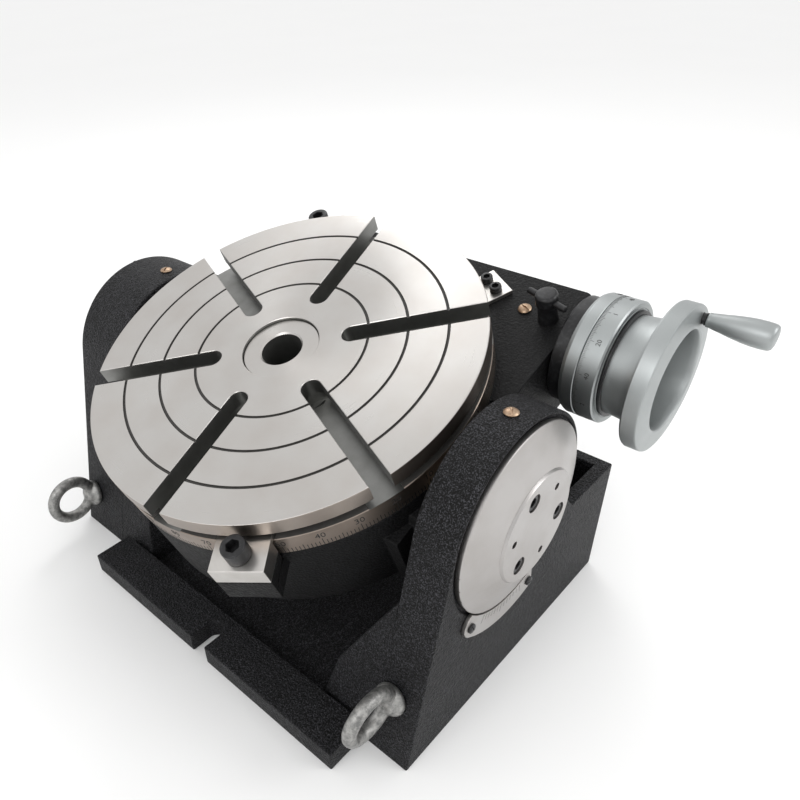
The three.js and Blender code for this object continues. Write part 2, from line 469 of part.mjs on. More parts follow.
// --------------------------------------------------------------------- table
const ringGroove = (r) => [[r + 1.1, TABLE_TOP], [r, TABLE_TOP - 1.6], [r - 1.1, TABLE_TOP]];
const sleeveBore = bore(SLEEVE_R, 120), headBore = bore(SLEEVE_HEAD_R, 120);
let table = turnZ([[sleeveBore, TABLE_FOOT], [HUB_R, TABLE_FOOT], [HUB_R, BAND_Z], [BAND_R, BAND_Z],
  [BAND_R, GROOVE_Z], [GROOVE_R, GROOVE_Z], [GROOVE_R, LIP_Z], [TABLE_R, LIP_Z],
  [TABLE_R, TABLE_TOP - 0.6], [TABLE_R - 0.6, TABLE_TOP],
  ...[...RINGS].reverse().flatMap(ringGroove),
  [headBore, TABLE_TOP], [headBore, SLEEVE_SEAT], [sleeveBore, SLEEVE_SEAT]], 0, 0, 120);
// A slot's outline, open at the rim and round at its inner end.
function slotOutline(width) {
  const half = width / 2, out = TABLE_R + 3;
  return [[out, -half], [out, half], ...arc(SLOT_IN + half, 0, half, 90, 270, 8)];
}
for (let i = 0; i < 6; i++) {
  const neck = alongZ(slotOutline(SLOT_W), SLOT_FLOOR, TABLE_TOP + 1);
  const tee = alongZ(slotOutline(SLOT_T_W), SLOT_FLOOR, SLOT_T_Z);
  table = table.subtract(turned(neck.add(tee), 0, 0, SLOT_A0 + 60 * i));
}
add(cradle, 'table', table, 'ground_steel');

// Centre sleeve with the taper bore, the worm wheel and the retaining nut.
const sleeve = [[13.3, SLEEVE_FOOT], [SLEEVE_R, SLEEVE_FOOT], [SLEEVE_R, SLEEVE_SEAT + GAP],
  [SLEEVE_HEAD_R, SLEEVE_SEAT + GAP], [SLEEVE_HEAD_R, TABLE_TOP - 0.9], [30.4, TABLE_TOP - 0.3],
  [17.6, TABLE_TOP - 0.3], [16.4, TABLE_TOP - 1.5]];
add(cradle, 'centre_sleeve', turnZ(sleeve, 0, 0, 40), 'ground_steel');
const wheel = alongZ(gearOutline(WHEEL_TIP, WHEEL_ROOT, WHEEL_TEETH, 0.25), 3, 26)
  .add(cylZ(70, 0, 31, 0, 0, 40))
  .subtract(cylZ(bore(SLEEVE_R, 40), -2, 33, 0, 0, 40));
add(cradle, 'worm_wheel', wheel, 'bronze');
const nutBore = bore(SLEEVE_R, 32);
const nut = turnZ([[nutBore, -26.5], [41, -26.5], [41, -20 - GAP], [nutBore, -20 - GAP]], 0, 0, 32)
  .subtract(box(38, 45, -3, 3, -30, -18))
  .subtract(box(-45, -38, -3, 3, -30, -18));
add(cradle, 'spindle_nut', nut, 'machined_steel');

// ---------------------------------------------------------------- worm drive
// Turned about the worm's axis, which runs along X.
const onWorm = (pts, n = 56) => turnX(pts, WORM_Y, WORM_Z, n);
const sealR = 37.5, shaftBore = bore(WORM_SHAFT_R, 56), sealBore = bore(sealR, 56);
add(cradle, 'worm_eccentric_sleeve', onWorm([[shaftBore, 101], [ECCENTRIC_R, 101], [ECCENTRIC_R, EXT_X + 1],
  [40.6, EXT_X + 1], [42, EXT_X + 2.4], [42, 175.2], [sealR, 175.2], [sealR, 187.8],
  [shaftBore, 187.8]]), 'black_oxide');
add(cradle, 'worm_vernier_ring', onWorm([[sealBore, 175.5], [44.5, 175.5], [DIAL_R, 179.5],
  [DIAL_R, 188.1], [sealBore, 188.1]], 64), 'satin_aluminium');
const wormThread = at(threaded(18.6, 3.6, 8.8, 80, 14, 3).rotateZ(-Math.PI / 2), 0, WORM_Y, WORM_Z);
const wormShaft = [[0, -54], [WORM_SHAFT_R, -54], [WORM_SHAFT_R, 187.8], [9, 188.9], [9, 225], [0, 225]];
add(cradle, 'worm_shaft', solid(wormThread).add(onWorm(wormShaft, 24)), 'machined_steel');
const micBore = bore(34, 64);
add(cradle, 'micrometer_dial', onWorm([[micBore, 188.5], [DIAL_R, 188.5], [DIAL_R, 203.4],
  [DIAL_R - 1.1, 204.5], [micBore, 204.5]], 64), 'satin_aluminium');
const lockBore = bore(38.6, 48);
add(cradle, 'dial_lock_ring', onWorm([[lockBore, 205.1], [41.6, 205.1], [41.6, 207.2],
  [lockBore, 207.2]], 48), 'black_oxide');

const [pinY, pinZ] = spot(HANDLE_R, HANDLE_A);
const handleAt = [WORM_Y + pinY, WORM_Z + pinZ];
const hubBore = bore(9, 64);
const handwheel = onWorm([[hubBore, 189.4], [34, 189.4], [34, 204.8], [38.6, 204.8], [38.6, 208],
  [39.2, 214],
  [40.2, 222], [43.4, 228.6], [RIM_R - 1.5, 229.2], [RIM_R, 230.6], [RIM_R, 241.2], [RIM_R - 1.2, 242.4],
  [40.2, 244.2], [38.9, 243.6], [37.8, 238], [35.5, 214], [33, 211], [15, 211], [15, 215], [hubBore, 215]], 64)
  .subtract(cylX(bore(4, 14), 228, 246, ...handleAt, 14));
add(cradle, 'handwheel', handwheel, 'satin_aluminium');
const wheelNut = alongX(arc(WORM_Y, WORM_Z, 12.8, 0, 300, 5), 215.3, 222.5)
  .subtract(cylX(bore(9, 24), 212, 226, WORM_Y, WORM_Z, 24));
add(cradle, 'handwheel_nut', wheelNut, 'zinc_steel');

// The crank handle turns on a pin screwed into the rim.
const pin = [[0, 230], [4, 230], [4, 246.5], [3, 246.5], [3, 287], [0, 287]];
add(cradle, 'handle_pin', turnX(pin, ...handleAt, 14), 'machined_steel');
const gripBore = bore(3, 28);
const grip = [[gripBore, 246.8], [5, 246.8], [5.6, 248], [6.2, 254], [7.6, 262], [9.1, 272], [9.7, 281],
  [9.6, 288], [8.6, 291.2], [6, 292.3], [0, 292.3], [0, 288.2], [gripBore, 288.2]];
add(cradle, 'crank_handle', turnX(grip, ...handleAt, 28), 'satin_aluminium');

export default root;
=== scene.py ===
"""The looks of the tilting rotary table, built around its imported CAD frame.

Nine CAD nodes keep their CAD shape: the bushes, the trunnion shafts, the worm shaft, both worm wheels and the
spindle nut.  Every other one gets a fine piece of the same name with _fine added, at a higher resolution.
Lengths below are millimetres; the meshes are made in metres.
"""
import json
import math

import bmesh
import bpy
from mathutils import Matrix, Vector

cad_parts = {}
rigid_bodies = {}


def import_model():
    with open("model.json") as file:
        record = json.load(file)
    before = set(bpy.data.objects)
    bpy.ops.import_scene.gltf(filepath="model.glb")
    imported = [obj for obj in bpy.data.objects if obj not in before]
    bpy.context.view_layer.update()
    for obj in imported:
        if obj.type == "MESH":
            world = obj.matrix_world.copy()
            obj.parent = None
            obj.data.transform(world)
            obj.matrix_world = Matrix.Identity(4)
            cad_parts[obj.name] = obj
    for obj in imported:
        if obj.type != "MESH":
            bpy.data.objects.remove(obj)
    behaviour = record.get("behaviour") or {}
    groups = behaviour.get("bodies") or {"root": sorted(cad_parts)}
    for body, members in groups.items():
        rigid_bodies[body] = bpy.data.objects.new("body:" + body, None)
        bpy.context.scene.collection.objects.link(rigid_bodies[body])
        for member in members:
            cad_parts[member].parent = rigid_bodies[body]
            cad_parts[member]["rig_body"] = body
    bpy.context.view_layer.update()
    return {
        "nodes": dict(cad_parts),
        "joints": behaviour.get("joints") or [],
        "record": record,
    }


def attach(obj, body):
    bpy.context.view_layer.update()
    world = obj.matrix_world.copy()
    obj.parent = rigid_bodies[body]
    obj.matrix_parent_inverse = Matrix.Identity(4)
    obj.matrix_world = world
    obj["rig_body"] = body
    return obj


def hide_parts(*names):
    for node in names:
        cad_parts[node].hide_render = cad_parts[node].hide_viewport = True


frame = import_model()
MM = 0.001
scene = bpy.context.scene

# ---------------------------------------------------------------- the frame
joints = {j["name"]: j for j in frame["joints"]}
slot_of = {s["node"]: s["material_slot"] for s in frame["record"]["subparts"]}
body_of = {node: ob["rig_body"] for node, ob in frame["nodes"].items()}
table_axis = Vector(joints["table_spin"]["axis"])
TILT = math.atan2(-table_axis.y, table_axis.z)
AXIS_Z = joints["cradle_tilt"]["pos_m"][2] / MM


def shifted(x, y, z):
    return Matrix.Translation((x * MM, y * MM, z * MM))


def spun(degrees, axis="Z"):
    return Matrix.Rotation(math.radians(degrees), 4, axis)


ROOT = Matrix.Identity(4)
CRADLE = shifted(0, 0, AXIS_Z) @ Matrix.Rotation(TILT, 4, "X")
ALONG_X = Matrix(((0, 0, 1, 0), (1, 0, 0, 0), (0, 1, 0, 0), (0, 0, 0, 1)))   # local x, y, z lie on Y, Z, X
ALONG_Y = Matrix(((1, 0, 0, 0), (0, 0, 1, 0), (0, 1, 0, 0), (0, 0, 0, 1)))   # local x, y, z lie on X, Z, Y


def extent(node, matrix=ROOT):
    """A CAD node's lowest and highest corner in a local frame, in millimetres."""
    back = matrix.inverted()
    points = [back @ v.co for v in frame["nodes"][node].data.vertices]
    low = [min(p[k] for p in points) / MM for k in range(3)]
    high = [max(p[k] for p in points) / MM for k in range(3)]
    return low, high


worm_point = CRADLE.inverted() @ Vector(joints["handwheel_spin"]["pos_m"])
WORM_Y, WORM_Z = worm_point.y / MM, worm_point.z / MM
WORM = CRADLE @ shifted(0, WORM_Y, WORM_Z) @ ALONG_X
DIAL = CRADLE @ ALONG_X

GAP = 0.3
table_high = extent("table", CRADLE)[1]
TABLE_R, TABLE_TOP = table_high[0], table_high[2]
LIP_Z, GROOVE_Z, BAND_Z, GROOVE_R, BAND_R, HUB_R = 69.3, 61, 42.7, 151, 159.5, 108
SLOT_W, SLOT_T_W, SLOT_T_Z, SLOT_FLOOR, SLOT_IN, SLOT_A0 = 16, 27, 69.5, 60.4, 49, -22
TURNED_FACES, TABLE_FACES = 160, 288     # round a large turned piece, and round the table
FLOOR_HALF = 9000
RINGS = (70.4, 100.6, 130.8)
base_low, base_high = extent("base_casting")
CHEEK_L_OUT, CHEEK_R_OUT = -base_low[0], base_high[0]
CHEEK_IN, ARCH_R = 169.7, base_high[2] - AXIS_Z
FLANGE_Y, REAR_FLANGE_Y = base_low[1], base_high[1]
FRONT_Y, REAR_Y, WALL_Z, WALL_T, FLOOR_T = -121.7, 163.6, 121.4, 12, 3.4
FLANGE_X, FLANGE_T = (-153.7, 161.1), 20.2
U_SLOT_X, U_SLOT_W, U_SLOT_D = 4, 18, 27
DRUM_R, DRUM_Z = 159, (-31, 42.4)
EXT_TOP, EXT_Y, EXT_X = 40, 182, 163.3
CLAMP_A, CLAMP_R, LUG_R, LUG_W = -58, 171.5, 184, 20
DIAL_R, RIM_R = extent("micrometer_dial", WORM)[1][0], extent("handwheel", WORM)[1][0]
TILT_X, TILT_WORM_Z = -210, joints["tilt_worm_spin"]["pos_m"][2] / MM
EYES = (("eyebolt_right", 180, 57, 6), ("eyebolt_left", -217.5, 38, 0))
EYE_R, EYE_WIRE, EYE_OUT = 19.9, 5.6, 27.6


# ---------------------------------------------------------------- mesh tools
def solid(verts, faces):
    """A closed mesh object from millimetre points, with its faces pointing out."""
    mesh = bpy.data.meshes.new("solid")
    mesh.from_pydata([[c * MM for c in v] for v in verts], [], faces)
    bm = bmesh.new()
    bm.from_mesh(mesh)
    bmesh.ops.recalc_face_normals(bm, faces=bm.faces)
    bm.to_mesh(mesh)
    bm.free()
    ob = bpy.data.objects.new("solid", mesh)
    scene.collection.objects.link(ob)
    return ob


def lathe(profile, n=128):
    """A closed profile of (radius, height) points turned about local Z."""
    verts, rings = [], []
    for r, h in profile:
        first = len(verts)
        if r < 1e-6:
            verts.append((0, 0, h))
            rings.append([first] * n)
        else:
            for i in range(n):
                a = 2 * math.pi * i / n
                verts.append((r * math.cos(a), r * math.sin(a), h))
            rings.append(list(range(first, first + n)))
    faces = []
    for a, b in zip(rings, rings[1:] + rings[:1]):
        for i in range(n):
            j = (i + 1) % n
            face = list(dict.fromkeys((a[i], a[j], b[j], b[i])))
            if len(face) > 2:
                faces.append(face)
    return solid(verts, faces)


def rod(r, z0, z1, n=64, x=0, y=0, edge=0):
    """A round bar or, with edge above 0, one with chamfered ends."""
    ends = [(r - edge, z0), (r, z0 + edge), (r, z1 - edge), (r - edge, z1)] if edge else [(r, z0), (r, z1)]
    return placed(lathe([(0, z0), *ends, (0, z1)], n), shifted(x, y, 0))


def loft(levels):
    """Outlines of equal count joined up local Z: levels are (points, z)."""
    count = len(levels[0][0])
    verts = [(x, y, z) for points, z in levels for x, y in points]
    faces = [list(range(count)), list(range(len(verts) - count, len(verts)))]
    for k in range(len(levels) - 1):
        for i in range(count):
            j = (i + 1) % count
            low, high = k * count, (k + 1) * count
            faces.append((low + i, low + j, high + j, high + i))
    return solid(verts, faces)


def prism(points, z0, z1):
    return loft([(points, z0), (points, z1)])


def block(x0, x1, y0, y1, z0, z1):
    return prism([(x0, y0), (x1, y0), (x1, y1), (x0, y1)], z0, z1)


def arc(cx, cy, r, a0, a1, steps):
    span = [math.radians(a0 + (a1 - a0) * i / steps) for i in range(steps + 1)]
    return [(cx + r * math.cos(a), cy + r * math.sin(a)) for a in span]


def placed(ob, matrix):
    ob.data.transform(matrix)
    if matrix.determinant() < 0:
        ob.data.flip_normals()
    return ob


def applied(ob):
    """Bakes the modifiers of ob into its mesh."""
    graph = bpy.context.evaluated_depsgraph_get()
    mesh = bpy.data.meshes.new_from_object(ob.evaluated_get(graph))
    ob.modifiers.clear()
    old, ob.data = ob.data, mesh
    bpy.data.meshes.remove(old)
    return ob


def combined(ob, others, operation):
    """ob joined with or cut by other solids, which are used up."""
    group = bpy.data.collections.new("tools")
    scene.collection.children.link(group)
    for other in others:
        scene.collection.objects.unlink(other)
        group.objects.link(other)
    modifier = ob.modifiers.new("boolean", "BOOLEAN")
    modifier.operation = operation
    modifier.solver = "EXACT"
    modifier.operand_type = "COLLECTION"
    modifier.collection = group
    bpy.context.view_layer.update()
    applied(ob)
    for other in list(group.objects):
        bpy.data.objects.remove(other)
    bpy.data.collections.remove(group)
    return ob


def joined(ob, *others):
    return combined(ob, others, "UNION")


def cut(ob, *others):
    return combined(ob, others, "DIFFERENCE")


def gathered(solids):
    """Several separate solids as one mesh object."""
    bm = bmesh.new()
    for ob in solids:
        bm.from_mesh(ob.data)
        bpy.data.objects.remove(ob)
    first = solid([], [])
    bm.to_mesh(first.data)
    bm.free()
    return first


def rounded(ob, width, segments=2, angle=33):
    modifier = ob.modifiers.new("bevel", "BEVEL")
    modifier.width = width * MM
    modifier.segments = segments
    modifier.limit_method = "ANGLE"
    modifier.angle_limit = math.radians(angle)
    modifier.use_clamp_overlap = False
    return applied(ob)


def shade(ob, angle=38):
    for polygon in ob.data.polygons:
        polygon.use_smooth = True
    ob.data.set_sharp_from_angle(angle=math.radians(angle))
    modifier = ob.modifiers.new("normals", "WEIGHTED_NORMAL")
    modifier.keep_sharp = True
    return applied(ob)


def publish(ob, node, matrix, *looks, angle=38):
    """Names a fine piece, gives it its looks, and lets it stand for a CAD node."""
    shade(ob, angle)
    ob.name = node + "_fine"
    ob.data.name = ob.name
    ob.data.materials.clear()
    for look in looks:
        ob.data.materials.append(look)
    ob.matrix_world = matrix
    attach(ob, body_of[node])
    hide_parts(node)
    return ob


def add_on(ob, name, matrix, body, look):
    """A piece with no CAD node of its own, such as a set of graduations."""
    shade(ob)
    ob.name = name
    ob.data.materials.clear()
    ob.data.materials.append(look)
    ob.matrix_world = matrix
    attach(ob, body)
    return ob


# ----------------------------------------------------------------- materials
class Net:
    """A node material: a Principled shader and short calls for the nodes behind it."""

    def __init__(self, name, colour, roughness, metallic):
        self.material = bpy.data.materials.new(name)
        self.material.use_nodes = True
        self.tree = self.material.node_tree
        self.shader = self.tree.nodes["Principled BSDF"]
        self.shader.inputs["Base Color"].default_value = (*colour, 1)
        self.shader.inputs["Roughness"].default_value = roughness
        self.shader.inputs["Metallic"].default_value = metallic
        self.place = self.node("ShaderNodeTexCoord").outputs["Object"]

    def node(self, kind, links=None, **settings):
        made = self.tree.nodes.new(kind)
        for key, value in settings.items():
            setattr(made, key, value)
        for key, value in (links or {}).items():
            if isinstance(value, bpy.types.NodeSocket):
                self.tree.links.new(value, made.inputs[key])
            else:
                made.inputs[key].default_value = value
        return made

    def noise(self, size, detail=3.0, vector=None, roughness=0.5):
        """Noise whose features are about size metres across."""
        links = {"Vector": vector or self.place, "Scale": 1 / size, "Detail": detail, "Roughness": roughness}
        return self.node("ShaderNodeTexNoise", links).outputs["Fac"]

    def cells(self, size, feature="F1"):
        links = {"Vector": self.place, "Scale": 1 / size}
        return self.node("ShaderNodeTexVoronoi", links, feature=feature).outputs["Distance"]

    def calc(self, operation, a, b=0.0):
        return self.node("ShaderNodeMath", {0: a, 1: b}, operation=operation).outputs[0]

    def span(self, factor, low, high, start=0.0, end=1.0):
        links = {"Value": factor, "From Min": start, "From Max": end, "To Min": low, "To Max": high}
        return self.node("ShaderNodeMapRange", links).outputs["Result"]

    def mix(self, factor, a, b):
        made = self.node("ShaderNodeMix", data_type="RGBA")
        self.tree.links.new(factor, made.inputs["Factor"])
        for socket, value in ((made.inputs[6], a), (made.inputs[7], b)):
            if isinstance(value, bpy.types.NodeSocket):
                self.tree.links.new(value, socket)
            else:
                socket.default_value = (*value, 1)
        return made.outputs[2]

    def turning(self, pitch):
        """Noise that runs in circles about local Z, as a turning tool leaves it."""
        parts = self.node("ShaderNodeSeparateXYZ", {0: self.place}).outputs
        radius = self.calc("SQRT", self.calc("ADD", self.calc("MULTIPLY", parts[0], parts[0]),
                                             self.calc("MULTIPLY", parts[1], parts[1])))
        rings = self.node("ShaderNodeCombineXYZ", {0: radius, 1: parts[2]}).outputs[0]
        return self.noise(pitch, 2.0, rings)

    def colour(self, socket):
        self.tree.links.new(socket, self.shader.inputs["Base Color"])

    def rough(self, socket):
        self.tree.links.new(socket, self.shader.inputs["Roughness"])

    def bump(self, height, depth, strength=1.0):
        made = self.node("ShaderNodeBump", {"Height": height, "Distance": depth, "Strength": strength})
        self.tree.links.new(made.outputs[0], self.shader.inputs["Normal"])

    def brushed_round(self, amount):
        """Anisotropy along circles about local Z."""
        tangent = self.node("ShaderNodeTangent", direction_type="RADIAL", axis="Z")
        self.tree.links.new(tangent.outputs[0], self.shader.inputs["Tangent"])
        self.shader.inputs["Anisotropic"].default_value = amount


def crinkle_paint(name, shade_of_black, glint, depth):
    net = Net(name, (shade_of_black,) * 3, 0.5, 0.0)
    net.shader.inputs["Specular IOR Level"].default_value = 0.17
    wrinkles = net.calc("ADD", net.noise(0.0017, 4.0), net.span(net.cells(0.0021), 0.0, 0.5))
    # The light specks are painted glints: light flecks that stand in for highlights off the wrinkles.
    glint_marks = net.span(net.noise(0.0010, 3.0), 0.0, 1.0, 0.48, 0.80)
    patches = net.span(net.noise(0.03, 3.0), 0.35, 1.0)
    dark, glint_tone = (shade_of_black,) * 3, (glint, glint, glint * 1.12)
    net.colour(net.mix(net.calc("MULTIPLY", glint_marks, patches), dark, glint_tone))
    net.rough(net.span(net.noise(0.004, 3.0), 0.38, 0.68))
    net.bump(wrinkles, depth)
    return net.material


def turned_metal(name, colour, stain, roughness, pitch=0.0007, depth=0.00002, anisotropy=0.0):
    net = Net(name, colour, roughness, 1.0)
    marks = net.turning(pitch)
    clouds = net.noise(0.035, 4.0)
    net.colour(net.mix(net.span(clouds, 0.0, 1.0, 0.35, 0.7), colour, stain))
    net.rough(net.calc("ADD", net.span(marks, roughness - 0.05, roughness + 0.05),
                       net.span(clouds, -0.03, 0.03)))
    net.bump(marks, depth)
    if anisotropy:
        net.brushed_round(anisotropy)
    return net.material


def milled_metal(name, colour, stain, roughness, depth=0.00002):
    """Straight fine marks along local Y, with cloudy stains."""
    net = Net(name, colour, roughness, 1.0)
    stretched = net.node("ShaderNodeMapping", {"Vector": net.place, "Scale": (1.0, 0.03, 1.0)}).outputs[0]
    marks = net.noise(0.0006, 3.0, stretched)
    clouds = net.noise(0.012, 4.0)
    net.colour(net.mix(net.span(clouds, 0.0, 1.0, 0.35, 0.7), colour, stain))
    net.rough(net.span(marks, roughness - 0.06, roughness + 0.06))
    net.bump(marks, depth)
    return net.material


def forged_metal(name, colour, stain, roughness, grain=0.0016, metallic=0.85, depth=0.00012):
    net = Net(name, colour, roughness, metallic)
    blotches = net.noise(0.0045, 5.0, roughness=0.65)
    net.colour(net.mix(net.span(blotches, 0.0, 1.0, 0.38, 0.64), colour, stain))
    net.rough(net.span(net.noise(grain, 3.0), roughness - 0.1, roughness + 0.12))
    net.bump(net.noise(grain, 4.0), depth)
    return net.material


def oxide_metal(name, colour, edge, roughness):
    """Blackened steel, a little greyer in patches."""
    net = Net(name, colour, roughness, 0.2)
    net.shader.inputs["Specular IOR Level"].default_value = 0.5
    patches = net.noise(0.003, 4.0)
    net.colour(net.mix(net.span(patches, 0.0, 1.0, 0.5, 0.75), colour, edge))
    net.rough(net.span(net.noise(0.0012, 3.0), roughness - 0.08, roughness + 0.1))
    net.bump(net.noise(0.0009, 2.0), 0.00003)
    return net.material


def plain_matt(name, colour, other, size, roughness):
    net = Net(name, colour, roughness, 0.0)
    net.colour(net.mix(net.noise(size, 3.0), colour, other))
    net.rough(net.span(net.noise(size * 0.5, 2.0), roughness - 0.05, roughness + 0.05))
    return net.material


PAINT = crinkle_paint("crinkle_paint", 0.0042, 0.13, 0.0014)
# A shaded copy of the same paint, with fewer painted glints and a shallower crinkle. It is used for the drum
# in the table's shade, its lid and the gear cover on the far side.
PAINT_SHADED = crinkle_paint("crinkle_paint_shaded", 0.0042, 0.03, 0.0005)
GROUND = turned_metal("ground_face", (0.56, 0.545, 0.525), (0.52, 0.495, 0.47), 0.30, 0.0009, 0.000004, 0.75)
# Band and rim: steel whose brown tint is a painted reflection of a wooden surface, with random darker stains.
BAND_PAINTED_REFLECTION = turned_metal("band_steel_painted_reflection", (0.34, 0.285, 0.245), (0.26, 0.215, 0.18), 0.36, 0.0008, 0.00002)
RIM_PAINTED_REFLECTION = turned_metal("rim_steel_painted_reflection", (0.36, 0.315, 0.28), (0.30, 0.26, 0.23), 0.33, 0.0008, 0.00002)
SLOT = milled_metal("slot_steel", (0.30, 0.30, 0.29), (0.25, 0.25, 0.24), 0.42)
MACHINED = milled_metal("machined_steel", (0.62, 0.60, 0.575), (0.55, 0.53, 0.50), 0.32)
STEEL = turned_metal("turned_steel", (0.50, 0.50, 0.49), (0.40, 0.40, 0.39), 0.34)
SATIN = turned_metal("satin_aluminium", (0.42, 0.44, 0.44), (0.375, 0.395, 0.395), 0.46, 0.0008, 0.00002)
DIAL_FACE = turned_metal("dial_face", (0.47, 0.455, 0.445), (0.41, 0.39, 0.375), 0.36, 0.0009, 0.00002, 0.45)
FORGED = forged_metal("forged_zinc", (0.20, 0.20, 0.195), (0.42, 0.415, 0.40), 0.48)
OXIDE = oxide_metal("black_oxide", (0.012, 0.012, 0.013), (0.035, 0.035, 0.037), 0.36)
BRASS = forged_metal("dull_brass", (0.36, 0.24, 0.16), (0.50, 0.37, 0.26), 0.40, 0.001, 1.0, 0.00003)
BRONZE = turned_metal("bronze", (0.42, 0.25, 0.11), (0.34, 0.20, 0.09), 0.38)
INK = plain_matt("graduation_fill", (0.012, 0.011, 0.010), (0.035, 0.032, 0.03), 0.002, 0.6)
# Painted shade: a near-black fill for the ring grooves and the groove under the lip.
SHADE = plain_matt("groove_painted_shade", (0.045, 0.043, 0.04), (0.075, 0.07, 0.065), 0.003, 0.65)
SLOT_LOOKS = {"black_paint": PAINT, "ground_steel": STEEL, "machined_steel": STEEL, "satin_aluminium": SATIN,
              "zinc_steel": FORGED, "black_oxide": OXIDE, "brass": BRASS, "bronze": BRONZE}


# ------------------------------------------------------------ small fasteners
def hexagon(r):
    return arc(0, 0, r, 0, 300, 5)


def cap_screw(head_r, head_h, shank_r, shank_l):
    """A socket-head screw on z = 0, its head smooth and chamfered."""
    rim, foot = 0.07 * head_r, 0.4
    body = lathe([(0, -shank_l), (shank_r - 0.6, -shank_l), (shank_r, -shank_l + 0.6), (shank_r, 0),
                  (head_r - foot, 0), (head_r, foot), (head_r, head_h - 1.7 * rim),
                  (head_r - 0.35 * rim, head_h - 0.7 * rim), (head_r - rim, head_h - 0.25 * rim),
                  (head_r - 1.9 * rim, head_h), (0, head_h)], 96)
    socket = loft([(hexagon(0.58 * head_r), 0.4 * head_h), (hexagon(0.58 * head_r), head_h - 0.35),
                   (hexagon(0.72 * head_r), head_h + 0.6)])
    return cut(body, socket)


def pan_screw(head_r, head_h, shank_r, shank_l, slot=0.0, socket=0.0):
    """A low domed head on z = 0 with a straight slot or a hexagon socket."""
    dome = [(head_r * math.cos(a), head_h * (0.35 + 0.65 * math.sin(a))) for a in
            [math.radians(d) for d in range(0, 90, 12)]]
    body = lathe([(0, -shank_l), (shank_r, -shank_l), (shank_r, 0), (head_r, 0), *dome, (0, head_h)], 64)
    if slot:
        return cut(body, block(-slot / 2, slot / 2, -head_r - 1, head_r + 1, 0.45 * head_h, head_h + 1))
    return cut(body, prism(hexagon(socket), 0.35 * head_h, head_h + 1))


def round_spot(radius, angle, height):
    """A place on a circle about local Z."""
    a = math.radians(angle)
    return shifted(radius * math.cos(a), radius * math.sin(a), height)


# --------------------------------------------------------------- graduations
def bar(width, length, depth):
    """A thin flat bar on z = 0, centred across, running up local Y."""
    return block(-width / 2, width / 2, 0, length, -depth / 2, depth / 2)


def wrapped(angle, radius, height, upward=1):
    """A place on a cylinder about local Z whose own Y runs up it and whose Z points out."""
    a = math.radians(angle)
    out = Vector((math.cos(a), math.sin(a), 0))
    up = Vector((0, 0, upward))
    side = up.cross(out)
    turn = Matrix((side, up, out)).transposed().to_4x4()
    return Matrix.Translation((out * radius + Vector((0, 0, height))) * MM) @ turn


def figures(text, height):
    """A number as a thin solid, centred across and standing on y = 0."""
    curve = bpy.data.curves.new("figures", "FONT")
    curve.body = text
    curve.size = height * MM * 1.37
    curve.align_x = "CENTER"
    curve.extrude = 0.08 * MM
    curve.resolution_u = 3
    ob = bpy.data.objects.new("figures", curve)
    scene.collection.objects.link(ob)
    bpy.context.view_layer.update()
    mesh = bpy.data.meshes.new_from_object(ob.evaluated_get(bpy.context.evaluated_depsgraph_get()))
    bpy.data.objects.remove(ob)
    made = bpy.data.objects.new("figures", mesh)
    scene.collection.objects.link(made)
    return made


def scale_marks(count, length_of, spot, width=0.35):
    """count bars round a circle; spot(angle) places each one, and length_of(i) gives its length or 0."""
    marks = []
    for i in range(count):
        length = length_of(i)
        if length:
            marks.append(placed(bar(width, length, 0.16), spot(360 * i / count)))
    return marks


# ---------------------------------------------------------------------- base
def cheek_outline():
    """Front edge, round head and rear edge of a cheek, in Y and Z."""
    d = math.hypot(FRONT_Y, AXIS_Z)
    tangent = 90 + math.degrees(math.atan2(AXIS_Z, -FRONT_Y) + math.asin(ARCH_R / d))
    return [(92, 0), (92, WALL_Z), (ARCH_R, WALL_Z + 14), *arc(0, AXIS_Z, ARCH_R, 0, tangent, 72),
            (FRONT_Y, 0)]


FRONT_SLOPE = math.pi / 2 - math.atan2(AXIS_Z, -FRONT_Y) - math.asin(ARCH_R / math.hypot(FRONT_Y, AXIS_Z))


def front_at(z):
    return FRONT_Y + math.tan(FRONT_SLOPE) * z


def eye_frame(x, z):
    """Local -Y leaves the sloping front face of a cheek."""
    return shifted(x, front_at(z), z) @ Matrix.Rotation(-FRONT_SLOPE, 4, "X")


def foot(side):
    outline = [(CHEEK_IN + 2, 0), (117, 0), (118, 20), (126, 56), (153, 106), (CHEEK_IN, 135),
               (CHEEK_IN + 2, 135)]
    made = placed(prism([(side * x, z) for x, z in outline], FRONT_Y, 92), ALONG_Y)
    front = [(FRONT_Y - 10, -1), (FRONT_Y, 0), (front_at(140), 140), (FRONT_Y - 10, 140)]
    return cut(made, placed(prism(front, -240, 240), ALONG_X),
               placed(rod(84, -CHEEK_IN, CHEEK_IN, 96, 0, AXIS_Z), ALONG_X))


def u_slot(y0, direction):
    half = U_SLOT_W / 2
    return prism([(U_SLOT_X - half, y0 - direction * 2), (U_SLOT_X + half, y0 - direction * 2),
                  *arc(U_SLOT_X, y0 + direction * (U_SLOT_D - half), half, 0, direction * 180, 20)],
                 -1, FLANGE_T + 1)


